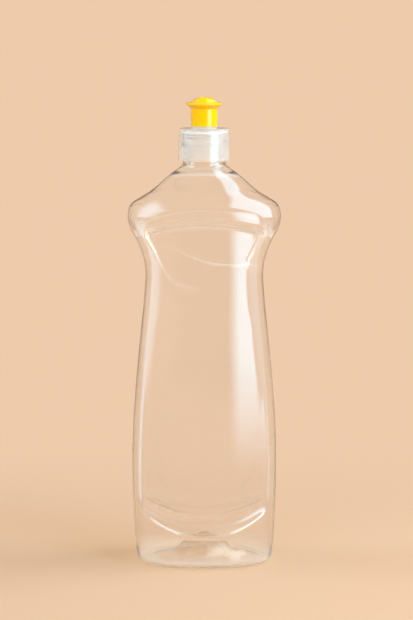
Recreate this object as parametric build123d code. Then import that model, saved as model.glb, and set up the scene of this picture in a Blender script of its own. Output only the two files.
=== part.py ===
from build123d import *
import os
from itertools import pairwise
from math import acos, copysign, cos, degrees, hypot, pi, sin

# Clear blown bottle for washing-up liquid, with a screw cap and a push-pull spout.
# +Z is up, the front faces -Y, and the origin lies under the middle of the foot. Millimetres.

# Bottle: heights above the table
BELLY_HEIGHT = 60.0
WAIST_HEIGHT = 173.0
SHOULDER_HEIGHT = 207.0
NECK_FOOT_HEIGHT = 238.0
NECK_LENGTH = 18.9

# Bottle: widths and depths at those heights
FOOT_WIDTH = 81.6
FOOT_DEPTH = 62.4
BELLY_WIDTH = 86.5
BELLY_DEPTH = 63.4
WAIST_WIDTH = 70.0
WAIST_DEPTH = 53.0
SHOULDER_WIDTH = 91.0
SHOULDER_DEPTH = 64.0
NECK_DIAMETER = 25.4
NECK_BORE = 21.6
NECK_STEP = 0.4

# Bottle: wall, foot, and the shallow hollow and steep push-up under it
WALL = 0.6
FOOT_RADIUS = 4.0
HOLLOW_WIDTH = 66.0
HOLLOW_DEPTH = 47.0
HOLLOW_RISE = 2.5
PUSH_UP_WIDTH = 36.0
PUSH_UP_DEPTH = 27.0
PUSH_UP_RISE = 11.5

# Bottle: label panels, the same on the front and the back, and how far they lie below the body
PANEL_TOP_HEIGHT = 203.4
PANEL_BOTTOM_HEIGHT = 24.4
PANEL_BOTTOM_RECESS = 1.6
PANEL_BELLY_RECESS = 1.3
PANEL_WAIST_RECESS = 0.2
PANEL_TOP_RECESS = 5.7
PANEL_WIDTH_SHARE = 0.9
PANEL_EDGE_POWER = 6
LEDGE_HEIGHT = 5.4
TOP_ARCH = 9.5
BOTTOM_ARCH = 14.0

# Bottle: how square the ovals are, where 2 is an ellipse
FOOT_SQUARENESS = 2.6
BELLY_SQUARENESS = 2.5
WAIST_SQUARENESS = 2.4
NECK_SQUARENESS = 2.0
SECTION_POINTS = 40

# Bottle: the outline between two heights, as shares of the way up and of the change in size
FOOT_TO_BELLY_SHARES = ((0.24, 0.48), (0.44, 0.68), (0.77, 0.95))
BELLY_TO_WAIST_SHARES = ((0.21, 0.08), (0.37, 0.23), (0.54, 0.43), (0.70, 0.65), (0.86, 0.88))
WAIST_TO_SHOULDER_SHARES = ((0.18, 0.045), (0.38, 0.21), (0.59, 0.48), (0.79, 0.83), (0.91, 0.96))
SHOULDER_TO_NECK_SHARES = (
    (0.125, 0.0125), (0.24, 0.058), (0.36, 0.22), (0.47, 0.39), (0.82, 0.775), (0.93, 0.92))

# Seal ring
SEAL_THICKNESS = 1.0
SEAL_OUTER_DIAMETER = 26.6
SEAL_INNER_DIAMETER = 21.4

# Screw cap
CAP_DIAMETER = 31.0
CAP_HEIGHT = 18.8
CAP_DRAFT = 0.25
CAP_TOP_RADIUS = 1.0
SKIRT_WALL = 1.5
DECK_THICKNESS = 1.6
RIM_BAND_HEIGHT = 4.5
RIM_BAND_STEP = 0.2
BOSS_DIAMETER = 15.8
BOSS_HEIGHT = 1.3
TOWER_DIAMETER = 12.2
TOWER_BORE = 9.6
TOWER_PLATE = 1.2
BEAD_HEIGHT = 1.0
BEAD_STEP = 0.28
PIN_DIAMETER = 4.2
PIN_LAP = 1.6
WINDOW_COUNT = 3
WINDOW_WIDTH = 1.7
WINDOW_SWEEP = 70.0

# Push-pull spout
SPOUT_TRAVEL = 5.0
SPOUT_CLEARANCE = 0.1
STOP_GAP = 0.2
STEM_DIAMETER = 15.8
STEM_LENGTH = 10.4
FLARE_RADIUS = 1.6
FLANGE_DIAMETER = 21.6
FLANGE_TAPER_HEIGHT = 2.5
FLANGE_EDGE = 0.7
BRIM_RISE = 0.8
CROWN_DIAMETER = 13.2
CROWN_HEIGHT = 2.6
LIP_DIAMETER = 5.6
ORIFICE_DIAMETER = 4.8
ORIFICE_LENGTH = 2.2

# All cuts run past the faces that they open by this much
OVERRUN = 1.0

PANEL_LEDGE_TOP = PANEL_TOP_HEIGHT + LEDGE_HEIGHT
PANEL_LEDGE_BOTTOM = PANEL_BOTTOM_HEIGHT - LEDGE_HEIGHT
NECK_RIM_HEIGHT = NECK_FOOT_HEIGHT + NECK_LENGTH
DECK_UNDERSIDE = NECK_RIM_HEIGHT + SEAL_THICKNESS
DECK_TOP = DECK_UNDERSIDE + DECK_THICKNESS
SKIRT_BOTTOM = DECK_TOP - CAP_HEIGHT
BOSS_TOP = DECK_TOP + BOSS_HEIGHT
SPOUT_BEAD_TOP = BOSS_TOP + BEAD_HEIGHT
TOWER_BEAD_BOTTOM = SPOUT_BEAD_TOP + SPOUT_TRAVEL + STOP_GAP
TOWER_TOP = TOWER_BEAD_BOTTOM + BEAD_HEIGHT + TOWER_PLATE
SPOUT_CHAMBER_FOOT = TOWER_TOP + STOP_GAP
STEM_TOP = BOSS_TOP + STEM_LENGTH
FLANGE_BOTTOM = STEM_TOP + FLANGE_TAPER_HEIGHT
FLANGE_TOP = FLANGE_BOTTOM + FLANGE_EDGE
SPOUT_TOP = FLANGE_TOP + BRIM_RISE + CROWN_HEIGHT
ORIFICE_FOOT = SPOUT_TOP - ORIFICE_LENGTH


def smooth_curve(points):
    """Return size(height): a smooth line through (height, size) points that never overshoots them."""
    slopes = [(high[1] - low[1]) / (high[0] - low[0]) for low, high in pairwise(points)]
    bends = [2 * a * b / (a + b) if a * b > 0 else 0 for a, b in pairwise(slopes)]
    tangents = [slopes[0], *bends, slopes[-1]]

    def size(height):
        """Evaluate the line, held level beyond its two ends."""
        height = min(max(height, points[0][0]), points[-1][0])
        step = next(i for i in range(len(slopes)) if height <= points[i + 1][0])
        run = points[step + 1][0] - points[step][0]
        t = (height - points[step][0]) / run
        rise = points[step + 1][1] - points[step][1]
        ease = t * t * (3 - 2 * t)
        lean = tangents[step] * t * (1 - t) ** 2 - tangents[step + 1] * t * t * (1 - t)
        return points[step][1] + rise * ease + run * lean

    return size


def outline(foot, belly, waist, shoulder, neck):
    """Half-size of the body against height, from its full size at the five named heights."""
    heights = (FOOT_RADIUS, BELLY_HEIGHT, WAIST_HEIGHT, SHOULDER_HEIGHT, NECK_FOOT_HEIGHT)
    marks = list(zip(heights, (foot / 2, belly / 2, waist / 2, shoulder / 2, neck / 2)))
    tables = (FOOT_TO_BELLY_SHARES, BELLY_TO_WAIST_SHARES, WAIST_TO_SHOULDER_SHARES, SHOULDER_TO_NECK_SHARES)
    points = [marks[0]]
    for (low, high), table in zip(pairwise(marks), tables):
        run, gain = high[0] - low[0], high[1] - low[1]
        points += [(low[0] + run * up, low[1] + gain * change) for up, change in table]
        points.append(high)
    return smooth_curve(points)


half_width = outline(FOOT_WIDTH, BELLY_WIDTH, WAIST_WIDTH, SHOULDER_WIDTH, NECK_DIAMETER + 2 * NECK_STEP)
half_depth = outline(FOOT_DEPTH, BELLY_DEPTH, WAIST_DEPTH, SHOULDER_DEPTH, NECK_DIAMETER + 2 * NECK_STEP)
squareness = smooth_curve((
    (0, FOOT_SQUARENESS), (BELLY_HEIGHT, BELLY_SQUARENESS), (WAIST_HEIGHT, WAIST_SQUARENESS),
    (SHOULDER_HEIGHT, WAIST_SQUARENESS), (NECK_FOOT_HEIGHT, NECK_SQUARENESS)))
side_rise = smooth_curve((
    (FOOT_RADIUS, 0), (PANEL_LEDGE_BOTTOM, BOTTOM_ARCH), (PANEL_BOTTOM_HEIGHT, BOTTOM_ARCH),
    (BELLY_HEIGHT, 0), (WAIST_HEIGHT, 0),
    (PANEL_TOP_HEIGHT, -TOP_ARCH), (PANEL_LEDGE_TOP, -TOP_ARCH), (NECK_FOOT_HEIGHT, 0)))
panel_half_depth = smooth_curve([(height, half_depth(height) - recess) for height, recess in (
    (PANEL_BOTTOM_HEIGHT, PANEL_BOTTOM_RECESS), (BELLY_HEIGHT, PANEL_BELLY_RECESS),
    (WAIST_HEIGHT, PANEL_WAIST_RECESS), (PANEL_TOP_HEIGHT, PANEL_TOP_RECESS))])
ledge_share = smooth_curve((
    (FOOT_RADIUS, 0), (PANEL_LEDGE_BOTTOM, 0), (PANEL_BOTTOM_HEIGHT, 1),
    (PANEL_TOP_HEIGHT, 1), (PANEL_LEDGE_TOP, 0), (NECK_FOOT_HEIGHT, 0)))
neck_wall = (NECK_DIAMETER - NECK_BORE) / 2
wall = smooth_curve(((0, WALL), (PANEL_LEDGE_TOP, WALL), (NECK_FOOT_HEIGHT, neck_wall)))


def panel_recess(height):
    """How far the middle of the label panels lies below the body, down to the ledges at its two ends."""
    return ledge_share(height) * (half_depth(height) - panel_half_depth(height))


def no_wall(height):
    """The outer face has no wall outside it."""
    return 0


def oval(height, rise, half_x, half_y, recess):
    """One closed section: a superellipse whose sides lie higher than its middle by rise."""
    power = squareness(height)
    points = []
    for i in range(SECTION_POINTS):
        turn = 2 * pi * i / SECTION_POINTS
        reach = (abs(cos(turn)) ** power + abs(sin(turn)) ** power) ** (-1 / power)
        across = reach * cos(turn)
        inward = max(0, 1 - abs(across / PANEL_WIDTH_SHARE) ** PANEL_EDGE_POWER) * recess
        along = half_y * reach * sin(turn)
        points.append((half_x * across, along - copysign(inward, along), height + rise * across ** 2))
    return Wire([Edge.make_spline([Vector(*point) for point in points], periodic=True)])


def section_heights():
    """Heights of the body's sections above its rounded foot, closer together where it curves more."""
    marks = (FOOT_RADIUS, PANEL_LEDGE_BOTTOM, PANEL_BOTTOM_HEIGHT, BELLY_HEIGHT, WAIST_HEIGHT,
             PANEL_TOP_HEIGHT, PANEL_LEDGE_TOP, NECK_FOOT_HEIGHT)
    counts = (2, 1, 4, 5, 8, 2, 9)
    heights = []
    for (low, high), count in zip(pairwise(marks), counts):
        heights += [low + (high - low) * (i + 1) / count for i in range(count)]
    return heights


def body_loft(skin):
    """The blown body as a solid, its face lying inside the outer face by skin(height)."""
    sections = []
    foot_turn_shares = (0, 0.3, 0.65, 1)
    corner = FOOT_RADIUS - skin(0)
    for share in foot_turn_shares:
        step_in = FOOT_RADIUS - corner * sin(share * pi / 2)
        half_x = half_width(FOOT_RADIUS) - step_in
        half_y = half_depth(FOOT_RADIUS) - step_in
        sections.append(oval(FOOT_RADIUS - corner * cos(share * pi / 2), 0, half_x, half_y, 0))
    for height in section_heights():
        rise = side_rise(height)
        probe = WALL
        lean_x = (half_width(height + rise + probe) - half_width(height + rise - probe)) / (2 * probe)
        lean_y = (half_depth(height + probe) - half_depth(height - probe)) / (2 * probe)
        lean = (lean_x + lean_y) / 2
        depth = skin(height)
        half_x = half_width(height + rise) - depth / hypot(1, lean_x)
        half_y = half_depth(height) - depth / hypot(1, lean_y)
        middle = height + depth * lean / hypot(1, lean)
        sections.append(oval(middle, rise, half_x, half_y, panel_recess(height)))
    return Solid.make_loft(sections)


def dome(width, depth, rise, skin):
    """An oval dome that rises from the table, grown by skin all over."""
    radius = ((width / 2) ** 2 + rise ** 2) / (2 * rise)
    return Pos(0, 0, rise - radius) * scale(Sphere(radius + skin), by=(1, depth / width, 1))


def push_up(skin):
    """What the foot leaves free above the table, grown by skin for the upper face of its wall."""
    hollow = dome(HOLLOW_WIDTH, HOLLOW_DEPTH, HOLLOW_RISE, skin)
    return hollow + dome(PUSH_UP_WIDTH, PUSH_UP_DEPTH, PUSH_UP_RISE, skin)


def standing_tube(radius, bottom, top):
    """A round bar on the bottle's axis between two heights."""
    return Pos(0, 0, bottom) * Cylinder(radius, top - bottom, align=(Align.CENTER, Align.CENTER, Align.MIN))


def bottle():
    """The blown body with its neck: one wall all round, open at the rim."""
    neck = standing_tube(NECK_DIAMETER / 2, NECK_FOOT_HEIGHT - OVERRUN, NECK_RIM_HEIGHT)
    bore = standing_tube(NECK_BORE / 2, NECK_FOOT_HEIGHT - LEDGE_HEIGHT, NECK_RIM_HEIGHT + OVERRUN)
    cavity = body_loft(wall) - push_up(WALL) + bore
    return body_loft(no_wall) + neck - push_up(0) - cavity


def turned(outline_edges):
    """A solid turned about the bottle's axis from a closed outline of (radius, height) edges."""
    return revolve(Plane.XZ * make_face(outline_edges), Axis.Z)


def outer_circle(solid, height):
    """The widest round edge of a turned solid at one height."""
    circles = solid.edges().filter_by(GeomType.CIRCLE).filter_by_position(Axis.Z, height, height)
    return circles.sort_by(SortBy.RADIUS)[-1]


def seal_ring():
    """The flat foam liner between the neck's rim and the cap's deck."""
    ring = standing_tube(SEAL_OUTER_DIAMETER / 2, NECK_RIM_HEIGHT, DECK_UNDERSIDE)
    return ring - standing_tube(SEAL_INNER_DIAMETER / 2, NECK_RIM_HEIGHT - OVERRUN, DECK_UNDERSIDE + OVERRUN)


def screw_cap():
    """The moulded closure: skirt, deck and boss, and the tower that carries the spout."""
    skirt = CAP_DIAMETER / 2
    tower = TOWER_DIAMETER / 2
    bore = TOWER_BORE / 2
    pin = PIN_DIAMETER / 2
    bead_top = TOWER_BEAD_BOTTOM + BEAD_HEIGHT
    shell = turned(Polyline(
        (skirt, SKIRT_BOTTOM),
        (skirt, SKIRT_BOTTOM + RIM_BAND_HEIGHT),
        (skirt - RIM_BAND_STEP, SKIRT_BOTTOM + RIM_BAND_HEIGHT + RIM_BAND_STEP),
        (skirt - RIM_BAND_STEP - CAP_DRAFT, DECK_TOP),
        (BOSS_DIAMETER / 2, DECK_TOP),
        (BOSS_DIAMETER / 2, BOSS_TOP),
        (tower, BOSS_TOP),
        (tower, TOWER_BEAD_BOTTOM),
        (tower + BEAD_STEP - SPOUT_CLEARANCE, TOWER_BEAD_BOTTOM),
        (tower + BEAD_STEP - SPOUT_CLEARANCE, TOWER_BEAD_BOTTOM + BEAD_HEIGHT / 2),
        (tower, bead_top),
        (tower, TOWER_TOP),
        (pin, TOWER_TOP),
        (pin, ORIFICE_FOOT + PIN_LAP),
        (0, ORIFICE_FOOT + PIN_LAP),
        (0, TOWER_TOP - TOWER_PLATE),
        (bore, TOWER_TOP - TOWER_PLATE),
        (bore, DECK_UNDERSIDE),
        (skirt - SKIRT_WALL, DECK_UNDERSIDE),
        (skirt - SKIRT_WALL, SKIRT_BOTTOM),
        close=True,
    ))
    shell = fillet(outer_circle(shell, DECK_TOP), CAP_TOP_RADIUS)
    window_radius = (pin + bore) / 2
    arc = CenterArc((0, 0), window_radius, -WINDOW_SWEEP / 2, WINDOW_SWEEP)
    windows = Sketch() + [place * SlotArc(arc, WINDOW_WIDTH) for place in PolarLocations(0, WINDOW_COUNT)]
    return shell - Pos(0, 0, TOWER_TOP - TOWER_PLATE - OVERRUN) * extrude(windows, TOWER_PLATE + 2 * OVERRUN)


def push_pull_spout():
    """The coloured spout: a stem that slides on the tower, a flange to pull by, a crown with the orifice."""
    stem = STEM_DIAMETER / 2
    bore = TOWER_DIAMETER / 2 + BEAD_STEP
    orifice = ORIFICE_DIAMETER / 2
    lip = LIP_DIAMETER / 2
    crown = CROWN_DIAMETER / 2
    crown_foot = FLANGE_TOP + BRIM_RISE
    crown_turn = acos(lip / crown)
    crown_arc = EllipticalCenterArc(
        (0, crown_foot), crown, CROWN_HEIGHT / sin(crown_turn), arc_size=degrees(crown_turn))
    spout = turned(crown_arc + Polyline(
        (lip, SPOUT_TOP),
        (orifice, SPOUT_TOP),
        (orifice, ORIFICE_FOOT),
        (bore, SPOUT_CHAMBER_FOOT),
        (bore, SPOUT_BEAD_TOP),
        (TOWER_DIAMETER / 2 + SPOUT_CLEARANCE, SPOUT_BEAD_TOP),
        (TOWER_DIAMETER / 2 + SPOUT_CLEARANCE, BOSS_TOP + BEAD_HEIGHT / 2),
        (bore, BOSS_TOP),
        (stem, BOSS_TOP),
        (stem, STEM_TOP),
        (FLANGE_DIAMETER / 2, FLANGE_BOTTOM),
        (FLANGE_DIAMETER / 2, FLANGE_TOP),
        (crown, crown_foot),
    ))
    return fillet(outer_circle(spout, STEM_TOP), FLARE_RADIUS)


os.makedirs("parts", exist_ok=True)
for piece in (bottle, seal_ring, screw_cap, push_pull_spout):
    export_step(piece(), f"parts/{piece.__name__}.step")
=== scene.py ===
import math

import bpy
import numpy as np
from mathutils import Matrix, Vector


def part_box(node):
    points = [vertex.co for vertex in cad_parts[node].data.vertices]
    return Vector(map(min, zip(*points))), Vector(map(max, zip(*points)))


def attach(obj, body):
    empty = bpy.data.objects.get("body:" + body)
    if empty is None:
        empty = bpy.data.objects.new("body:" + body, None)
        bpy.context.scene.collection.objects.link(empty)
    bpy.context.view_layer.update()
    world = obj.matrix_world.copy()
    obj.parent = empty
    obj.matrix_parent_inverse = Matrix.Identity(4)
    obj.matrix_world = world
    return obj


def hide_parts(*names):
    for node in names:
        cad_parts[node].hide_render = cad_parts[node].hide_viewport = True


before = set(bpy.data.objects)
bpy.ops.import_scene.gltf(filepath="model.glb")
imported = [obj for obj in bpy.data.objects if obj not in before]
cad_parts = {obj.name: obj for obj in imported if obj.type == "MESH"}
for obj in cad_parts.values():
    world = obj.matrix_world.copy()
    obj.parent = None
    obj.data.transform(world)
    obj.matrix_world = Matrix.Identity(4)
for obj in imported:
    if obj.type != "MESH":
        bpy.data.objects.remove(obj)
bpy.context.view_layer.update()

# Bottle.
# Blown from clear PET in one piece: an oval body pinched at the waist for the hand, a sunk label panel on the
# front and the back under an arched ledge, a domed foot on a flat ring, and the preform's threaded neck.
columns = 240
turn = np.linspace(0, 2 * math.pi, columns, endpoint=False)
neck_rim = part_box("bottle")[1].z
foot_radius = 0.004
belly_height = 0.060
waist_height = 0.173
shoulder_height = 0.207
neck_foot = 0.238
neck_highlight_rings = ((0.2335, 0.4), (0.2366, 0.1))  # height, strength of the painted highlight ring
neck_radius = 0.0127
neck_bore_radius = 0.0108
rim_rounding = 0.0004
wall_marks = (  # height, wall: thickest in the foot and up to the neck
    (0.0, 0.0011), (belly_height, 0.0009), (0.120, 0.0008), (0.232, 0.0007), (0.2345, 0.0011),
    (neck_foot, neck_radius - neck_bore_radius))
body_marks = (  # height, width, depth and squareness of the oval, where 2 is an ellipse
    (foot_radius, 0.0816, 0.0624, 2.6),
    (belly_height, 0.0865, 0.0634, 2.5),
    (waist_height, 0.0700, 0.0530, 2.4),
    (shoulder_height, 0.0910, 0.0640, 2.4),
    (neck_foot, 2 * neck_radius, 2 * neck_radius, 2.0),
    (neck_rim, 2 * neck_radius, 2 * neck_radius, 2.0),
)
outline_shares = (  # between two marks: share of the way up, share of the change in size
    ((0.24, 0.48), (0.44, 0.68), (0.77, 0.95)),
    ((0.21, 0.08), (0.37, 0.23), (0.54, 0.43), (0.70, 0.65), (0.86, 0.88)),
    ((0.18, 0.045), (0.38, 0.21), (0.59, 0.48), (0.79, 0.83), (0.91, 0.96)),
    ((0.125, 0.0125), (0.24, 0.058), (0.36, 0.22), (0.47, 0.39), (0.82, 0.775), (0.93, 0.92)),
    (),
)
hollow_width, hollow_depth, hollow_rise = 0.066, 0.047, 0.0025
push_up_width, push_up_depth, push_up_rise = 0.036, 0.027, 0.0115
push_up_blend = 0.009
panel_bottom = 0.0244
panel_top = 0.2034
ledge_height = 0.0054
ledge_rounding = 0.08
ledge_rounding_inside = 0.4
ledge_taper = 0.8
panel_face = (  # height, half the depth
    (panel_bottom, 0.0299), (belly_height, 0.0304), (waist_height, 0.0257), (panel_top, 0.0250))
panel_curve_width, panel_curve_depth, panel_curve_power = 0.077, 0.0536, 2.4
panel_edge = ((0.12, 0.86), (0.175, 0.98))  # height, share of the half width
panel_edge_power = ((0.12, 6), (0.175, 14))  # height, power of the fall towards that edge
bottom_arch = 0.014
top_arch = 0.0095
crease_width = 0.0022
# Width of the painted highlight lines along the ledges, creases and neck.
highlight_line_width = 0.0008
bead_width = 0.0011
bead_rise = 0.00035
ledge_bead_rise = 0.0006
left_crease = (  # height, x
    (0.1655, -0.0030), (0.1674, -0.0085), (0.1695, -0.0156), (0.1745, -0.0215), (0.1818, -0.0262),
    (0.1886, -0.0292), (0.1970, -0.0339))
left_crease_fade = ((0.1660, 0), (0.1750, 1), (0.1850, 1), (0.1950, 0))  # height, share of its own step
left_corner_fade = ((0.1640, 0), (0.1800, 1))  # height, share of the grip corner
right_crease = ((0.1835, 0.0259), (0.1985, 0.0336))  # height, x
right_crease_foot = ((0.0240, 0.1830), (0.0350, 0.1770))  # x, height
back_crease = (  # x, height
    (-0.0197, 0.1860), (-0.0057, 0.1790), (0.0065, 0.1756), (0.0187, 0.1750), (0.0350, 0.1770))
back_crease_fade = ((-0.0220, 0), (0.0260, 1))  # x, share of its own step
back_crease_reach = ((0.1800, 1), (0.1960, 0))  # height, share of its own step
crease_step = 0.0005
left_bead_fade = (  # height, share of the bead
    (0.1648, 0), (0.1680, 0.15), (0.1760, 0.25), (0.1850, 1), (0.1980, 1), (0.2040, 0))
right_bead_fade = ((0.1780, 0), (0.1830, 1), (0.1960, 1), (0.2020, 0))  # height, share of the bead
back_bead_fade = (  # x, share of the bead
    (-0.0240, 0), (-0.0100, 0.4), (0.0100, 1), (0.0310, 1), (0.0350, 0))
foot_line_fade = (  # share of the half width, share of the painted highlight line
    (-0.80, 0), (-0.70, 1), (-0.38, 1), (-0.28, 0.05), (0.30, 0.05), (0.42, 1))
foot_line_highlight, panel_foot_highlight, lip_highlight = (1, 0.35), (0.3, 0.35), (0.75, 0.2)  # strength of the painted highlight lines: on the front, on the back
lip_place, lip_reach = 0.4, 0.35  # shares of the ledge's height
highlight_to_edge = 3  # how quickly the painted highlight lines start at the panel's edge
dome_shares = np.concatenate((  # closest together where the dome meets the hollow
    np.linspace(0.02, 0.48, 12), np.linspace(0.5, 0.62, 13), np.linspace(0.66, 1, 9)))
standing_shares = (0.35, 0.7)  # of the way across the flat standing ring
ring_bands = (  # height up to which the rings go, number of rings
    (panel_bottom - ledge_height, 10), (panel_bottom, 14), (0.165, 48), (panel_top, 56),
    (panel_top + ledge_height, 14), (neck_foot, 36))
thread_lead = 0.004233
thread_laps = 1.5
thread_foot = 0.2480
thread_depth = 0.00095
thread_half_base = 0.00125
thread_half_crest = 0.0004
thread_fade = 0.5


def smooth_curve(points):
    """A smooth line through (place, size) points that never overshoots them, as a function of place."""
    place, size = np.array(points, float).T
    slope = np.diff(size) / np.diff(place)
    product = slope[:-1] * slope[1:]
    mean = np.divide(2 * product, slope[:-1] + slope[1:], out=np.zeros_like(product), where=product > 0)
    tangent = np.concatenate((slope[:1], mean, slope[-1:]))

    def line(at):
        """The size at a place, held level beyond the two ends."""
        at = np.clip(at, place[0], place[-1])
        i = np.clip(np.searchsorted(place, at) - 1, 0, len(slope) - 1)
        run = place[i + 1] - place[i]
        t = (at - place[i]) / run
        lean = tangent[i] * t * (1 - t) ** 2 - tangent[i + 1] * t * t * (1 - t)
        return size[i] + (size[i + 1] - size[i]) * t * t * (3 - 2 * t) + run * lean

    return line


def outline(column):
    """Half of one size of the body against height, through its marks and the shares between them."""
    points = [(body_marks[0][0], body_marks[0][column] / 2)]
    for low, high, shares in zip(body_marks, body_marks[1:], outline_shares):
        for up, change in shares + ((1, 1),):
            size = low[column] + (high[column] - low[column]) * change
            points.append((low[0] + (high[0] - low[0]) * up, size / 2))
    return smooth_curve(points)


def soft_ramp(t, rounding):
    """From 0 to 1 as t does, straight in between and with both corners rounded."""
    return (1 + np.hypot(t, rounding) - np.hypot(1 - t, rounding)) / 2


half_width = outline(1)
half_depth = outline(2)
panel_line = smooth_curve(panel_face)
edge_share, edge_power = smooth_curve(panel_edge), smooth_curve(panel_edge_power)
squareness = smooth_curve([(mark[0], mark[3]) for mark in body_marks])
wall_at = smooth_curve(wall_marks)
side_rise = smooth_curve((
    (foot_radius, 0), (panel_bottom - ledge_height, bottom_arch), (panel_bottom, bottom_arch),
    (belly_height, 0), (waist_height, 0),
    (panel_top, -top_arch), (panel_top + ledge_height, -top_arch), (neck_foot, 0)))
left_line, left_share = smooth_curve(left_crease), smooth_curve(left_crease_fade)
left_corner_share = smooth_curve(left_corner_fade)
right_line, right_foot_line = smooth_curve(right_crease), smooth_curve(right_crease_foot)
back_line, back_share = smooth_curve(back_crease), smooth_curve(back_crease_fade)
back_reach = smooth_curve(back_crease_reach)
left_bead_share, right_bead_share = smooth_curve(left_bead_fade), smooth_curve(right_bead_fade)
back_bead_share, foot_line_share = smooth_curve(back_bead_fade), smooth_curve(foot_line_fade)


def beside(line, along, off):
    """How far a point lies beside a crease: positive to its right, or above one that runs across."""
    probe = crease_width / 4
    slope = (line(along + probe) - line(along - probe)) / (2 * probe)
    return (off - line(along)) / np.hypot(1, slope)


def hill(distance, width):
    """A rounded hill across a line, 1 on the line."""
    return np.exp(-(distance / width) ** 2)


def panel_sink(height, across, x, y, z, rounding):
    """How far the label panel lies below the body, and how strong the painted highlight lines along its
    ledges and creases are.

    The panel has the same curve from side to side at every height, so that a label lies flat on it. The
    creases bound the raised grip corners beside it.
    """
    foot_ledge = ledge_height * (1 - ledge_taper * across ** 2)
    above_ledge = height - panel_bottom + foot_ledge
    foot_step = soft_ramp(above_ledge / foot_ledge, rounding)
    top_step = soft_ramp((height - panel_top) / ledge_height, rounding)
    level = np.clip(1 - np.abs(2 * x / panel_curve_width) ** panel_curve_power, 0, 1)
    drop = panel_curve_depth / 2 * (1 - level ** (1 / panel_curve_power))
    depth = np.clip(np.abs(y) - panel_line(height) + drop, 0, None) * (foot_step - top_step)
    edge = np.clip(1 - np.abs(across / edge_share(height)) ** edge_power(height), 0, 1)
    left, right = beside(left_line, z, x), beside(right_line, z, x)
    right_foot, back = beside(right_foot_line, x, z), beside(back_line, x, z)
    left_corner = (1 - soft_ramp(0.5 + left / crease_width, rounding)) * left_corner_share(z)
    right_corner = soft_ramp(0.5 + right / crease_width, rounding)
    right_corner = right_corner * soft_ramp(0.5 + right_foot / crease_width, rounding)
    back_corner = soft_ramp(0.5 + back / crease_width, rounding) * back_share(x) * back_reach(z)
    front = y < 0
    corner = np.where(front, np.maximum(left_corner, right_corner), 0)
    step = np.where(front, left_corner * left_share(z), back_corner)
    left_bead, right_bead, back_bead = left_bead_share(z), right_bead_share(z), back_bead_share(x)
    front_beads = hill(left, bead_width) * left_bead + hill(right, bead_width) * right_bead
    beads = bead_rise * np.where(front, front_beads, hill(back, bead_width) * back_bead)
    ledge_bead = ledge_bead_rise * hill(above_ledge, bead_width)
    sink = edge * (depth * (1 - corner) - crease_step * step - beads - ledge_bead)

    # Painted highlight lines: a pale shader along the ledges, the creases and the panel's foot, standing in
    # for the light these edges catch.
    above_lip = height - panel_top - lip_place * ledge_height
    foot_line = hill(above_ledge, highlight_line_width) * foot_line_share(across) * np.where(front, *foot_line_highlight)
    panel_foot = hill(height - panel_bottom, highlight_line_width) * np.abs(across) * np.where(front, *panel_foot_highlight)
    lip = hill(above_lip, lip_reach * ledge_height) * np.where(front, *lip_highlight)
    front_creases = hill(left, highlight_line_width) * left_bead + hill(right, highlight_line_width) * right_bead
    back_creases = hill(back, highlight_line_width) * back_bead
    painted_highlight = foot_line + panel_foot + lip + np.where(front, front_creases, back_creases)
    return sink, painted_highlight * np.clip(highlight_to_edge * edge, 0, 1)


def body_ring(height, step_in=0.0, rounding=ledge_rounding):
    """One ring of the body, arched along with the panels and drawn in by step_in at the rounded foot.

    The fourth value of each point is the strength of the painted highlight there, along the wall's sharp
    edges.
    """
    rise = side_rise(height)
    power = squareness(height)
    reach = (np.abs(np.cos(turn)) ** power + np.abs(np.sin(turn)) ** power) ** (-1 / power)
    across = reach * np.cos(turn)
    x = (half_width(height + rise) - step_in) * across
    y = (half_depth(height) - step_in) * reach * np.sin(turn)
    z = height + rise * across ** 2
    sink, painted_highlight = panel_sink(height, across, x, y, z, rounding)
    # Painted highlight rings across the neck's flare.
    for level, highlight_strength in neck_highlight_rings:
        painted_highlight = painted_highlight + highlight_strength * hill(height - level, highlight_line_width)
    return np.stack((x, y - np.sign(y) * sink, z, painted_highlight), axis=1)


def round_ring(radius, height):
    """A level circle about the neck's axis; the radius may change round it."""
    level = np.full(columns, height)
    return np.stack((radius * np.cos(turn), radius * np.sin(turn), level), axis=1)


def neck_ring(height):
    """One ring of the neck, with the screw thread's ridge where it passes."""
    ridge = np.zeros(columns)
    for lap in range(math.ceil(thread_laps)):
        along = turn + 2 * math.pi * lap
        middle = thread_foot + thread_lead * along / (2 * math.pi)
        ends = np.clip(np.minimum(along, 2 * math.pi * thread_laps - along) / thread_fade, 0, 1)
        flank = (thread_half_base - np.abs(height - middle)) / (thread_half_base - thread_half_crest)
        ridge = np.maximum(ridge, thread_depth * ends * soft_ramp(flank, ledge_rounding))
    return round_ring(neck_radius + ridge, height)


def domed(share, width, rise):
    """The height of a shallow round dome at a share of the way from its middle to its edge."""
    radius = ((width / 2) ** 2 + rise ** 2) / (2 * rise)
    return np.sqrt(radius ** 2 - (np.clip(share, 0, 1) * width / 2) ** 2) - radius + rise


def push_up_ring(share):
    """One ring under the foot, from the middle at 0 to the standing ring at 1: a hollow with a dome in it."""
    x = share * hollow_width / 2 * np.cos(turn)
    y = share * hollow_depth / 2 * np.sin(turn)
    hollow = domed(share, hollow_width, hollow_rise)
    dome = domed(np.hypot(2 * x / push_up_width, 2 * y / push_up_depth), push_up_width, push_up_rise)
    level = (hollow + dome + np.hypot(hollow - dome, push_up_blend * (1 - share))) / 2
    return np.stack((x, y, np.maximum(level, 0)), axis=1)


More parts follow.
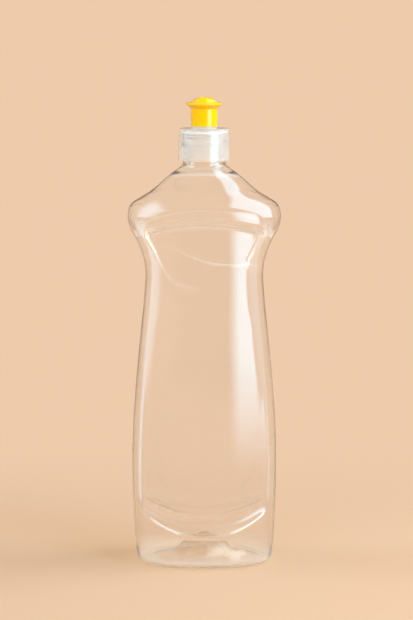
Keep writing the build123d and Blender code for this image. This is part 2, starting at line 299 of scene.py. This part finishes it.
def skin_mesh(name, rings, closed=False):
    """A mesh of quads through rings of points: closed on itself, or with a fan over each end.

    A fourth value of the points, the strength of a painted highlight, goes into a point attribute of the
    mesh.
    """
    count = len(rings[0])
    painted_highlights = np.concatenate([ring[:, 3] if ring.shape[1] > 3 else np.zeros(count) for ring in rings])
    rings = [ring[:, :3] for ring in rings]
    points = np.concatenate(rings)
    around = np.arange(count)
    faces = []
    for i in range(len(rings) if closed else len(rings) - 1):
        low = i * count
        high = (i + 1) % len(rings) * count
        after = (around + 1) % count
        faces.append(np.stack((low + around, low + after, high + after, high + around), axis=1))
    faces = np.concatenate(faces).tolist()
    points = points.tolist()
    if not closed:
        for ring, start, step in ((rings[0], 0, -1), (rings[-1], (len(rings) - 1) * count, 1)):
            points.append(ring.mean(axis=0).tolist())
            for j in range(count):
                edge = [start + j, start + (j + 1) % count]
                faces.append(edge[::step] + [len(points) - 1])
    mesh = bpy.data.meshes.new(name)
    mesh.from_pydata(points, [], faces)
    mesh.polygons.foreach_set("use_smooth", [True] * len(mesh.polygons))
    if painted_highlights.any():
        values = np.concatenate((painted_highlights, np.zeros(len(points) - len(painted_highlights))))
        mesh.attributes.new("painted_highlight", "FLOAT", "POINT").data.foreach_set("value", values)
    mesh.update()
    piece = bpy.data.objects.new(name, mesh)
    bpy.context.scene.collection.objects.link(piece)
    return piece


def bottle_rings():
    """All rings of the bottle's skin: up the outside from the dome to the rim, then down the inside."""
    dome = [push_up_ring(share) for share in dome_shares]
    quarter = np.linspace(0, math.pi / 2, 7)
    foot = [body_ring(foot_radius * (1 - math.cos(a)), foot_radius * (1 - math.sin(a))) for a in quarter]
    standing_ring = [dome[-1] + (foot[0][:, :3] - dome[-1]) * share for share in standing_shares]
    heights = []
    low = foot_radius
    for high, count in ring_bands:
        heights += [low + (high - low) * (i + 1) / count for i in range(count)]
        low = high
    base = dome + standing_ring + foot
    outside = base + [body_ring(height) for height in heights]
    softened = base + [body_ring(height, rounding=ledge_rounding_inside) for height in heights]
    softened = np.array([ring[:, :3] for ring in softened])
    around = np.roll(softened, -1, axis=1) - np.roll(softened, 1, axis=1)
    normal = np.cross(around, np.gradient(softened, axis=0))
    normal /= np.linalg.norm(normal, axis=2, keepdims=True)
    thickness = wall_at(softened[:, :, 2])[:, :, None]
    inside = (softened - thickness * normal)[:-1:2]
    rim_foot = neck_rim - rim_rounding
    neck = [neck_ring(height) for height in np.linspace(neck_foot, rim_foot, 46)[1:]]
    quarter = np.linspace(0, math.pi / 2, 4)
    along, up = rim_rounding * np.cos(quarter), rim_rounding * np.sin(quarter)
    rim = [round_ring(neck_radius - rim_rounding + a, rim_foot + b) for a, b in zip(along, up)]
    rim += [round_ring(neck_bore_radius + rim_rounding - b, rim_foot + a) for a, b in zip(along, up)]
    bore_heights = np.linspace(rim_foot - rim_rounding, neck_foot, 8)
    bore = [round_ring(neck_bore_radius, height) for height in bore_heights]
    return outside + neck + rim[1:] + bore + list(inside[::-1])


class Value:
    """A node socket. Arithmetic on it adds Math nodes, and node() adds any other node of its tree."""

    def __init__(self, tree, socket=None):
        self.tree = tree
        self.socket = socket

    def node(self, kind, settings=None, inputs=None, output=0):
        """Add a node, set its settings first and then its sockets, and return one of its outputs."""
        made = self.tree.nodes.new(kind)
        for name, setting in (settings or {}).items():
            setattr(made, name, setting)
        for name, given in (inputs or {}).items():
            for one in given if isinstance(given, list) else [given]:
                if isinstance(one, Value):
                    self.tree.links.new(one.socket, made.inputs[name])
                else:
                    made.inputs[name].default_value = one
        return Value(self.tree, made.outputs[output] if made.outputs else None)

    def math(self, operation, first, second):
        """One Math node on two numbers or values."""
        return self.node("ShaderNodeMath", {"operation": operation}, {0: first, 1: second})

    def __add__(self, other):
        return self.math("ADD", self, other)

    def __rsub__(self, other):
        return self.math("SUBTRACT", other, self)

    def __mul__(self, other):
        return self.math("MULTIPLY", self, other)

    def __truediv__(self, other):
        return self.math("DIVIDE", self, other)

    def __rtruediv__(self, other):
        return self.math("DIVIDE", other, self)

    __radd__ = __add__

    def ramp(self, low, high):
        """0 below low, 1 above high, smooth between."""
        return self.node("ShaderNodeMapRange", {"interpolation_type": "SMOOTHSTEP"},
                         {"Value": self, "From Min": low, "From Max": high})

    def mix(self, first, second):
        """A colour between two, by this value."""
        return self.node("ShaderNodeMix", {"data_type": "RGBA"}, {0: self, 6: first, 7: second}, output=2)


def new_finish(name):
    """An empty material, a Value to start its nodes from, and the object's own coordinates."""
    material = bpy.data.materials.new(name)
    material.use_nodes = True
    material.node_tree.nodes.clear()
    start = Value(material.node_tree)
    place = start.node("ShaderNodeTexCoord", output=3)
    return material, start, place


def noise(place, scale, detail=2.0, stretch=(1, 1, 1)):
    """Smooth noise about 1 / scale metres across, from 0 to 1."""
    spot = place.node("ShaderNodeMapping", {"vector_type": "POINT"}, {"Vector": place, "Scale": stretch})
    return place.node("ShaderNodeTexNoise", None, {"Vector": spot, "Scale": scale, "Detail": detail})


def height_of(place):
    """The height above the table."""
    return place.node("ShaderNodeSeparateXYZ", None, {0: place}, output=2)


def bump_from(height, depth, strength):
    """A surface normal for relief of a depth in metres."""
    return height.node("ShaderNodeBump", None, {"Strength": strength, "Distance": depth, "Height": height})


def show(shader):
    """Make a shader the surface of its material."""
    shader.node("ShaderNodeOutputMaterial", None, {"Surface": shader})


def clear_pet():
    """Clear PET: glossy, faintly wavy from blowing, with painted highlight lines along its sharp edges and a
    paler foot, partly real haze and partly painted light.
    """
    belly_tint, waist_tint = (0.967, 0.962, 0.966, 1), (0.982, 0.979, 0.984, 1)
    neck_tint = (0.96, 0.965, 0.96, 1)
    # Colours of the pale shader: in the foot partly real haze and partly painted light, above it the painted
    # highlight lines.
    foot_haze_and_glow_colour, painted_highlight_colour = (1.0, 0.97, 1.0, 1), (1.0, 0.94, 0.88, 1)
    waist_starts, neck_starts, haze_to_highlight_colour_ends = (0.05, 0.16), (0.230, 0.236), (0.008, 0.02)  # heights
    scuff_ends, foot_haze_and_glow_ends, dome_ends = (0.0002, 0.0016), (0.001, 0.012), (0.012, 0.015)  # heights
    cap_zone_starts, cap_zone_ends = (0.2365, 0.239), (0.246, 0.249)  # heights
    dome_edge = (0.8, 1.1)  # squared share of the hollow's half width and depth
    material, start, place = new_finish("clear_pet")
    height = height_of(place)
    tint = height.ramp(*waist_starts).mix(belly_tint, waist_tint)
    tint = height.ramp(*neck_starts).mix(tint, neck_tint)
    handling = noise(place, 90, 4).ramp(0.45, 0.75)
    scuff = (1 - height.ramp(*scuff_ends)) * noise(place, 900, 3)
    x = start.node("ShaderNodeSeparateXYZ", None, {0: place}, output=0) / (hollow_width / 2)
    y = start.node("ShaderNodeSeparateXYZ", None, {0: place}, output=1) / (hollow_depth / 2)
    in_dome = (1 - (x * x + y * y).ramp(*dome_edge)) * (1 - height.ramp(*dome_ends))
    waves = noise(place, 28, 1, (1, 1, 0.4))
    plastic = start.node("ShaderNodeBsdfPrincipled", None, {
        "Base Color": tint, "Roughness": 0.03 + handling * 0.03 + scuff * 0.2 + in_dome * 0.05, "IOR": 1.575,
        "Transmission Weight": 1.0, "Normal": bump_from(waves, 0.0015, 0.1)})
    # Painted highlight lines: the pale shader is mixed in along the sharp edges that the mesh marks.
    painted_highlight = start.node("ShaderNodeAttribute", {"attribute_name": "painted_highlight"}, output=2)
    # Paler foot and dome streaks: partly the real haze of a blown base, partly painted light that lifts the
    # shaded foot and paints streaks like the lamps' reflections in the dome.
    foot_haze_and_glow = (1 - height.ramp(*foot_haze_and_glow_ends)) * 0.11 + in_dome * noise(place, 70, 3).ramp(0.5, 0.7) * 0.3
    haze_and_highlight_colour = height.ramp(*haze_to_highlight_colour_ends).mix(foot_haze_and_glow_colour, painted_highlight_colour)
    pale = start.node("ShaderNodeBsdfPrincipled", None, {"Base Color": haze_and_highlight_colour, "Roughness": 0.3})
    plastic = start.node("ShaderNodeMixShader", None, {0: painted_highlight * 0.6 + foot_haze_and_glow, 1: plastic, 2: pale})
    thin = start.node("ShaderNodeBsdfTransparent", None, {"Color": (0.99, 0.97, 0.95, 1)})
    under_cap = height.ramp(*cap_zone_starts) * (1 - height.ramp(*cap_zone_ends))
    see_through = in_dome * 0.3 + under_cap * 0.35
    plastic = start.node("ShaderNodeMixShader", None, {0: see_through, 1: plastic, 2: thin})
    lamp_light = start.node("ShaderNodeBsdfTransparent", None, {"Color": (0.97, 0.89, 0.78, 1)})
    shadow_ray = start.node("ShaderNodeLightPath", output=1)
    show(start.node("ShaderNodeMixShader", None, {0: shadow_ray, 1: plastic, 2: lamp_light}))
    return material


bottle = skin_mesh("clear_bottle", bottle_rings())
bottle.data.materials.append(clear_pet())
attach(bottle, "body")
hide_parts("bottle")

# Seal ring.
# A flat washer punched from white expanded polyethylene, pressed up inside the cap. It lies on the neck's rim
# and is squeezed there when the cap is screwed down.
seal_low, seal_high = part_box("seal_ring")
seal_outer_radius = seal_high.x
seal_inner_radius = 0.0107
seal_edge = 0.00015


def rounded_profile(corners, steps=5):
    """A closed (radius, height) outline from corners, each with its own rounding radius."""
    longest = 0.49  # share of a side that one rounding may take up
    points = []
    places = [np.array(corner[:2]) for corner in corners]
    for i, corner in enumerate(corners):
        back = places[i - 1] - places[i]
        ahead = places[(i + 1) % len(places)] - places[i]
        back_length, ahead_length = np.linalg.norm(back), np.linalg.norm(ahead)
        back, ahead = back / back_length, ahead / ahead_length
        half = math.acos(np.clip(back @ ahead, -1, 1)) / 2
        if corner[2] == 0:
            points.append(places[i])
            continue
        reach = min(corner[2] / math.tan(half), longest * back_length, longest * ahead_length)
        start, end = places[i] + back * reach, places[i] + ahead * reach
        for t in np.linspace(0, 1, steps + 1):
            points.append((1 - t) ** 2 * start + 2 * t * (1 - t) * places[i] + t * t * end)
    return points


def turned_rings(profile):
    """Rings of a piece turned about the neck's axis from a (radius, height) outline."""
    return [round_ring(radius, height) for radius, height in profile]


def foam():
    """Expanded polyethylene: white and matt, with fine closed cells."""
    material, start, place = new_finish("foam_liner")
    cells = start.node("ShaderNodeTexVoronoi", None, {"Vector": place, "Scale": 2600.0})
    mottle = noise(place, 300).mix((0.86, 0.86, 0.84, 1), (0.93, 0.93, 0.91, 1))
    show(start.node("ShaderNodeBsdfPrincipled", None, {
        "Base Color": mottle, "Roughness": 0.75 + cells * 0.1, "IOR": 1.45,
        "Normal": bump_from(cells, 0.0001, 0.4)}))
    return material


seal = skin_mesh("foam_seal_ring", turned_rings(rounded_profile((
    (seal_outer_radius, seal_low.z, seal_edge), (seal_outer_radius, seal_high.z, seal_edge),
    (seal_inner_radius, seal_high.z, seal_edge), (seal_inner_radius, seal_low.z, seal_edge)))), closed=True)
seal.data.materials.append(foam())
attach(seal, "seal")
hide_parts("seal_ring")

# Screw cap.
# Injection moulded in natural polypropylene, milky and translucent: a skirt that screws onto the neck, a flat
# deck with a low boss, and under the spout a tower with a snap bead, three flow windows and a closing pin.
cap_low, cap_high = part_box("screw_cap")
cap_skirt_radius = cap_high.x
cap_skirt_wall = 0.0015
cap_draft = 0.00025
cap_band_height = 0.0045
cap_band_step = 0.0002
deck_underside = seal_high.z
deck_thickness = 0.0016
deck_top = deck_underside + deck_thickness
boss_radius = 0.0079
boss_height = 0.0013
boss_top = deck_top + boss_height
tower_radius = 0.0061
tower_bore_radius = 0.0048
tower_plate = 0.0012
bead_height = 0.0010
bead_step = 0.00018
spout_travel = 0.005
stop_gap = 0.0002
bead_foot = boss_top + bead_height + spout_travel + stop_gap
tower_top = bead_foot + bead_height + tower_plate
pin_radius = 0.0021
cap_sizes = {
    "Thread Radius": cap_skirt_radius - cap_skirt_wall,
    "Thread Depth": 0.0009,
    "Thread Crest": 0.0007,
    "Thread Base": 0.0033,
    "Thread Lead": thread_lead,
    "Thread Laps": 1.4,
    "Thread Foot": thread_foot + thread_lead / 2,
    "Window Count": 3,
    "Window Radius": (pin_radius + tower_bore_radius) / 2,
    "Window Width": 0.0017,
    "Window Sweep": math.radians(70),
    "Window Height": tower_top - tower_plate / 2,
    "Plate": tower_plate,
}


def natural_polypropylene():
    """Natural polypropylene: milky, half see-through, satin from the mould, with faint flow marks."""
    milk_share, milk_cloud, back_lit_share = 0.17, 0.1, 0.15
    face_gloss, edge_gloss = 0.04, 0.5
    material, start, place = new_finish("natural_polypropylene")
    cloud = noise(place, 160, 2, (1, 1, 0.3))
    milk = cloud.mix((0.99, 0.95, 0.91, 1), (1.0, 0.98, 0.94, 1))
    front_lit = start.node("ShaderNodeBsdfPrincipled", None, {"Base Color": milk, "Roughness": 0.4})
    back_lit = start.node("ShaderNodeBsdfTranslucent", None, {"Color": (0.995, 0.965, 0.925, 1)})
    milky = start.node("ShaderNodeMixShader", None, {0: back_lit_share, 1: front_lit, 2: back_lit})
    clear = start.node("ShaderNodeBsdfTransparent", None, {"Color": (0.99, 0.99, 0.99, 1)})
    milkiness = milk_share + cloud * milk_cloud
    wall = start.node("ShaderNodeMixShader", None, {0: milkiness, 1: clear, 2: milky})
    shine = start.node("ShaderNodeBsdfGlossy", None, {"Roughness": 0.15 + cloud * 0.05})
    edge_on = start.node("ShaderNodeLayerWeight", None, {"Blend": 0.5}, output=1)
    outer_face = 1 - start.node("ShaderNodeNewGeometry", output=6)
    gloss = (face_gloss + edge_on * edge_on * edge_on * edge_on * edge_gloss) * outer_face
    show(start.node("ShaderNodeMixShader", None, {0: gloss, 1: wall, 2: shine}))
    return material


def cap_details(base, sizes, finish):
    """Cut the flow windows through the tower's plate and add the thread inside the skirt."""
    sharp_angle = math.radians(35)
    end_length, end_scale = 0.04, 0.05  # where the thread's ends run out, and how small they get
    tree = bpy.data.node_groups.new("cap_details", "GeometryNodeTree")
    tree.interface.new_socket("Geometry", in_out="INPUT", socket_type="NodeSocketGeometry")
    tree.interface.new_socket("Geometry", in_out="OUTPUT", socket_type="NodeSocketGeometry")
    for name, size in sizes.items():
        kind = "NodeSocketInt" if isinstance(size, int) else "NodeSocketFloat"
        tree.interface.new_socket(name, in_out="INPUT", socket_type=kind)
    entry = tree.nodes.new("NodeGroupInput")
    given = {socket.name: Value(tree, socket) for socket in entry.outputs if socket.name}
    start = Value(tree)

    thread_rise = given["Thread Laps"] * given["Thread Lead"]
    helix = start.node("GeometryNodeCurveSpiral", None, {
        "Resolution": 96, "Rotations": given["Thread Laps"], "Start Radius": given["Thread Radius"],
        "End Radius": given["Thread Radius"], "Height": thread_rise, "Reverse": True})
    helix = start.node("GeometryNodeSetCurveNormal", {"mode": "Z_UP"}, {"Curve": helix})
    ridge = start.node("GeometryNodeCurvePrimitiveQuadrilateral", {"mode": "TRAPEZOID"}, {
        "Height": given["Thread Depth"] * 2, "Bottom Width": given["Thread Base"],
        "Top Width": given["Thread Crest"], "Offset": 0.0})
    ridge = start.node("GeometryNodeTransform", None, {"Geometry": ridge, "Rotation": (0, 0, math.pi / 2)})
    along = start.node("GeometryNodeSplineParameter")
    ends = (along * (1 - along)).ramp(0, end_length) * (1 - end_scale) + end_scale
    thread = start.node("GeometryNodeCurveToMesh", None, {
        "Curve": helix, "Profile Curve": ridge, "Scale": ends, "Fill Caps": True})
    lift = start.node("ShaderNodeCombineXYZ", None, {"Z": given["Thread Foot"]})
    thread = start.node("GeometryNodeTransform", None, {"Geometry": thread, "Translation": lift})

    slot = start.node("GeometryNodeCurveArc", {"mode": "RADIUS"}, {
        "Resolution": 24, "Radius": given["Window Radius"], "Sweep Angle": given["Window Sweep"]})
    bar = start.node("GeometryNodeCurvePrimitiveQuadrilateral", None, {
        "Width": given["Window Width"], "Height": given["Plate"] * 2})
    slot = start.node("GeometryNodeSetCurveNormal", {"mode": "Z_UP"}, {"Curve": slot})
    slot = start.node("GeometryNodeCurveToMesh", None, {
        "Curve": slot, "Profile Curve": bar, "Fill Caps": True})
    level = start.node("ShaderNodeCombineXYZ", None, {"Z": given["Window Height"]})
    posts = start.node("GeometryNodeMeshLine", None, {
        "Count": given["Window Count"], "Start Location": level, "Offset": (0, 0, 0)})
    step = start.node("GeometryNodeInputIndex") * (2 * math.pi / given["Window Count"])
    spin = start.node("ShaderNodeCombineXYZ", None, {"Z": step})
    slots = start.node("GeometryNodeInstanceOnPoints", None, {
        "Points": posts, "Instance": slot, "Rotation": spin})
    slots = start.node("GeometryNodeRealizeInstances", None, {"Geometry": slots})

    body = start.node("GeometryNodeMeshBoolean", {"operation": "DIFFERENCE"}, {
        "Mesh 1": given["Geometry"], "Mesh 2": slots})
    body = start.node("GeometryNodeMeshBoolean", {"operation": "UNION"}, {"Mesh 2": [body, thread]})
    edge = start.node("GeometryNodeInputMeshEdgeAngle")
    sharp = start.math("GREATER_THAN", edge, sharp_angle)
    body = start.node("GeometryNodeSetShadeSmooth", {"domain": "FACE"}, {
        "Geometry": body, "Shade Smooth": True})
    body = start.node("GeometryNodeSetShadeSmooth", {"domain": "EDGE"}, {
        "Geometry": body, "Selection": sharp, "Shade Smooth": False})
    body = start.node("GeometryNodeRealizeInstances", None, {"Geometry": body})
    body = start.node("GeometryNodeSetMaterial", None, {"Geometry": body, "Material": finish})
    start.node("NodeGroupOutput", None, {"Geometry": body})

    details = base.modifiers.new("details", "NODES")
    details.node_group = tree
    for item in tree.interface.items_tree:
        if item.name in sizes:
            details[item.identifier] = sizes[item.name]
    finished = bpy.data.meshes.new_from_object(base.evaluated_get(bpy.context.evaluated_depsgraph_get()))
    base.modifiers.clear()
    base.data = finished


cap_profile = rounded_profile((
    (0, cap_high.z, 0),
    (pin_radius, cap_high.z, 0.0004),
    (pin_radius, tower_top, 0.0003),
    (tower_radius, tower_top, 0.0004),
    (tower_radius, bead_foot + bead_height, 0.0002),
    (tower_radius + bead_step, bead_foot + bead_height / 2, 0.0002),
    (tower_radius + bead_step, bead_foot, 0.00005),
    (tower_radius, bead_foot, 0.00005),
    (tower_radius, boss_top, 0.0002),
    (boss_radius, boss_top, 0.0003),
    (boss_radius, deck_top, 0.0004),
    (cap_skirt_radius - cap_band_step - cap_draft, deck_top, 0.0011),
    (cap_skirt_radius - cap_band_step, cap_low.z + cap_band_height + cap_band_step, 0.0002),
    (cap_skirt_radius, cap_low.z + cap_band_height, 0.0002),
    (cap_skirt_radius, cap_low.z, 0.0004),
    (cap_skirt_radius - cap_skirt_wall, cap_low.z, 0.0004),
    (cap_skirt_radius - cap_skirt_wall, deck_underside, 0.0005),
    (tower_bore_radius, deck_underside, 0.0003),
    (tower_bore_radius, tower_top - tower_plate, 0.0003),
    (0, tower_top - tower_plate, 0),
))
cap = skin_mesh("natural_screw_cap", turned_rings(cap_profile[1:-1])[::-1])
cap_details(cap, cap_sizes, natural_polypropylene())
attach(cap, "cap")
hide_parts("screw_cap")

# Push-pull spout.
# Injection moulded in opaque yellow polyethylene: a stem that snaps over the cap's tower and slides on it, a
# wide flange to pull by, and a rounded crown whose orifice the cap's pin closes when the spout is down.
spout_low, spout_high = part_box("push_pull_spout")
flange_radius = spout_high.x
stem_radius = 0.0079
stem_length = 0.0104
flange_taper = 0.0025
flange_edge = 0.0007
brim_rise = 0.0008
crown_radius = 0.0066
lip_radius = 0.0028
orifice_radius = 0.0024
orifice_length = 0.0022
bore_play = 0.00028
bead_play = 0.0001
ceiling_gap = 0.0002
spout_bore_radius = tower_radius + bore_play
spout_bead_radius = tower_radius + bead_play


def yellow_polyethylene():
    """Yellow polyethylene: strong colour, satin, light bleeding a little way into it."""
    material, start, place = new_finish("yellow_polyethylene")
    swirl = noise(place, 220, 2)
    colour = swirl.mix((0.93, 0.53, 0.0, 1), (1.0, 0.59, 0.0, 1))
    show(start.node("ShaderNodeBsdfPrincipled", None, {
        "Base Color": colour, "Roughness": 0.1 + swirl * 0.05, "IOR": 1.51, "Specular IOR Level": 0.35,
        "Subsurface Weight": 0.15, "Subsurface Radius": (1.0, 0.7, 0.1), "Subsurface Scale": 0.0012}))
    return material


stem_top = spout_low.z + stem_length
flange_top = stem_top + flange_taper + flange_edge
crown_foot = flange_top + brim_rise
crown_turn = math.acos(lip_radius / crown_radius)
crown_height = (spout_high.z - crown_foot) / math.sin(crown_turn)
crown = [(crown_radius * math.cos(a), crown_foot + crown_height * math.sin(a), 0)
         for a in np.linspace(0, crown_turn, 12)]
spout_profile = rounded_profile((
    (stem_radius, spout_low.z, 0.0003),
    (stem_radius, stem_top, 0.0012),
    (flange_radius, flange_top - flange_edge, 0.0004),
    (flange_radius, flange_top, 0.0004),
    *crown,
    (orifice_radius, spout_high.z, 0.0002),
    (orifice_radius, spout_high.z - orifice_length, 0.0002),
    (spout_bore_radius, tower_top + ceiling_gap, 0.0003),
    (spout_bore_radius, boss_top + bead_height, 0.0001),
    (spout_bead_radius, boss_top + bead_height, 0.0001),
    (spout_bead_radius, boss_top + bead_height / 2, 0.0001),
    (spout_bore_radius, spout_low.z, 0.0001),
), steps=8)
spout = skin_mesh("yellow_push_pull_spout", turned_rings(spout_profile), closed=True)
spout.data.materials.append(yellow_polyethylene())
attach(spout, "spout")
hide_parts("push_pull_spout")

# Sweep.
# A seamless sheet of matt peach paper, laid level under the bottle and rolled up to a curve far behind it.
sweep_half_width = 1.2
sweep_front = -4.0
sweep_bend_start = 2.6
sweep_bend_radius = 1.2
sweep_top = 2.4
sweep_gap = 0.0002
far_peach = (0.85, 0.597, 0.410, 1)
sweep_line = [(sweep_front, -sweep_gap)]
for a in np.linspace(0, math.pi / 2, 25):
    rise = sweep_bend_radius * (1 - math.cos(a)) - sweep_gap
    sweep_line.append((sweep_bend_start + sweep_bend_radius * math.sin(a), rise))
sweep_line.append((sweep_bend_start + sweep_bend_radius, sweep_top))
sweep_mesh = bpy.data.meshes.new("paper_sweep")
sweep_mesh.from_pydata(
    [(side * sweep_half_width, y, z) for y, z in sweep_line for side in (-1, 1)], [],
    [(2 * i, 2 * i + 1, 2 * i + 3, 2 * i + 2) for i in range(len(sweep_line) - 1)])
sweep_mesh.polygons.foreach_set("use_smooth", [True] * len(sweep_mesh.polygons))
sweep = bpy.data.objects.new("paper_sweep", sweep_mesh)
bpy.context.scene.collection.objects.link(sweep)


def peach_paper():
    """Matt paper with a faint fibre mottle; away from the bottle the camera sees it evenly lit."""
    behind_band, away_band = (0.0, 0.35), (0.35, 0.8)  # metres from the bottle over which it turns even
    material, start, place = new_finish("peach_paper")
    fibre = noise(place, 700, 3)
    colour = fibre.mix((0.66, 0.425, 0.275, 1), (0.68, 0.44, 0.285, 1))
    paper = start.node("ShaderNodeBsdfPrincipled", None, {
        "Base Color": colour, "Roughness": 0.9, "Specular IOR Level": 0.0})
    even = start.node("ShaderNodeEmission", None, {"Color": far_peach})
    to_camera = start.node("ShaderNodeLightPath", output=0)
    through_plastic = start.node("ShaderNodeLightPath", output=6)
    behind = start.node("ShaderNodeSeparateXYZ", None, {0: place}, output=1).ramp(*behind_band)
    away = start.node("ShaderNodeVectorMath", {"operation": "LENGTH"}, {0: place}, output=1).ramp(*away_band)
    far = start.math("MAXIMUM", behind, away)
    seen = start.math("MAXIMUM", to_camera, through_plastic) * far
    show(start.node("ShaderNodeMixShader", None, {0: seen, 1: paper, 2: even}))
    return material


sweep_mesh.materials.append(peach_paper())

# Studio light.
# Four broad softboxes, at the front right, right, left and front, light the set. Five cool strips show only
# as the bright bands that the plastic mirrors. The room around them is pale.
daylight = (0.84, 0.94, 1.0)
cool = (0.38, 0.75, 1.0)
room_grey, room_peach = (0.42, 0.42, 0.42, 1), (0.70, 0.52, 0.38, 1)
broad_edges = (0.3, 0.3, 0.3, 0.3)
broad_lamps = (  # name, azimuth, height of the foot, lean, distance, size, radiance
    ("key_softbox", 45, 0.3, 20, 1.3, (0.95, 1.2), 6.9),
    ("right_softbox", 96, 0.2, 25, 1.4, (1.2, 1.5), 5.2),
    ("left_panel", -96, 0.3, 15, 1.2, (0.9, 1.2), 3.8),
    ("front_fill", -25, 0.1, 0, 1.8, (1.6, 1.2), 4.8),
)
strips = (  # the same, and the edges
    ("right_strip", 44, -0.02, 0, 0.34, (0.31, 0.5), 9.0, (0.45, 0.15, 0.3, 0.3)),
    ("left_strip", -87, -0.02, 0, 0.2, (0.19, 0.24), 3.1, (0.3, 0.4, 0.08, 0.25)),
    ("right_edge_strip", 85, -0.02, 0, 0.2, (0.19, 0.24), 1.7, (0.4, 0.3, 0.08, 0.25)),
    ("left_top_strip", -80, 0.23, 0, 0.42, (0.55, 0.68), 5.5, (0.4, 0.45, 0.12, 0.4)),
    ("shoulder_strip", 92, 0.3, 30, 1.5, (1.1, 2.0), 7.5, (0.25, 0.25, 0.1, 0.15)),
)


def softbox(name, azimuth, foot, lean, distance, size, radiance, edges, colour):
    """A soft-edged lamp that faces the bottle and leans in, at an azimuth counted rightwards from the camera.

    It fades over these shares of its width and height: left and right, seen from behind it, foot and top.
    """
    lamp = bpy.data.lights.new(name, "AREA")
    lamp.shape = "RECTANGLE"
    lamp.size, lamp.size_y = size
    lamp.energy = math.pi * size[0] * size[1] * radiance
    lamp.color = colour
    lamp.use_nodes = True
    lamp.node_tree.nodes.clear()
    start = Value(lamp.node_tree)
    spot = start.node("ShaderNodeNewGeometry", output=5)
    across = start.node("ShaderNodeSeparateXYZ", None, {0: spot}, output=0)
    up = start.node("ShaderNodeSeparateXYZ", None, {0: spot}, output=1)
    left_edge, right_edge, foot_edge, top_edge = edges
    glow = across.ramp(0, left_edge) * (1 - across).ramp(0, right_edge)
    glow = glow * up.ramp(0, foot_edge) * (1 - up).ramp(0, top_edge)
    light = start.node("ShaderNodeEmission", None, {"Color": glow})
    start.node("ShaderNodeOutputLight", None, {"Surface": light})
    holder = bpy.data.objects.new(name, lamp)
    a, tilt = math.radians(azimuth), math.radians(lean)
    out = distance - size[1] / 2 * math.sin(tilt)
    holder.location = (out * math.sin(a), -out * math.cos(a), foot + size[1] / 2 * math.cos(tilt))
    holder.rotation_euler = (math.pi / 2 - tilt, 0, a)
    bpy.context.scene.collection.objects.link(holder)
    return holder


for values in broad_lamps:
    lamp = softbox(*values, broad_edges, daylight)
    lamp.visible_glossy = False
    lamp.visible_transmission = False
for values in strips:
    lamp = softbox(*values, cool)
    lamp.visible_diffuse = False
    lamp.visible_transmission = False
room = bpy.data.worlds.new("room")
room.use_nodes = True
room_nodes = Value(room.node_tree)
mirrored = room_nodes.node("ShaderNodeLightPath", output=3)
through_plastic = room_nodes.node("ShaderNodeLightPath", output=6)
to_camera = room_nodes.node("ShaderNodeLightPath", output=0)
walls = mirrored.mix(room_grey, room_peach)
walls = room_nodes.math("MAXIMUM", to_camera, through_plastic).mix(walls, far_peach)
room.node_tree.links.new(walls.socket, room.node_tree.nodes["Background"].inputs["Color"])
bpy.context.scene.world = room

# Camera.
# A long lens a little above the cap's height, looking slightly down at the front of the bottle.
camera_distance = 1.5
camera_height = 0.358
camera_side = 0.0013
camera_pitch = math.radians(7.86)
frame_height_pixels = 620
focal_pixels = 2534
camera_data = bpy.data.cameras.new("camera")
camera_data.sensor_fit = "VERTICAL"
camera_data.sensor_height = 36.0
camera_data.lens = camera_data.sensor_height * focal_pixels / frame_height_pixels
camera = bpy.data.objects.new("camera", camera_data)
camera.location = (camera_side, -camera_distance, camera_height)
camera.rotation_euler = (math.pi / 2 - camera_pitch, 0, 0)
bpy.context.scene.collection.objects.link(camera)
bpy.context.scene.camera = camera
bpy.context.scene.view_settings.view_transform = "Standard"
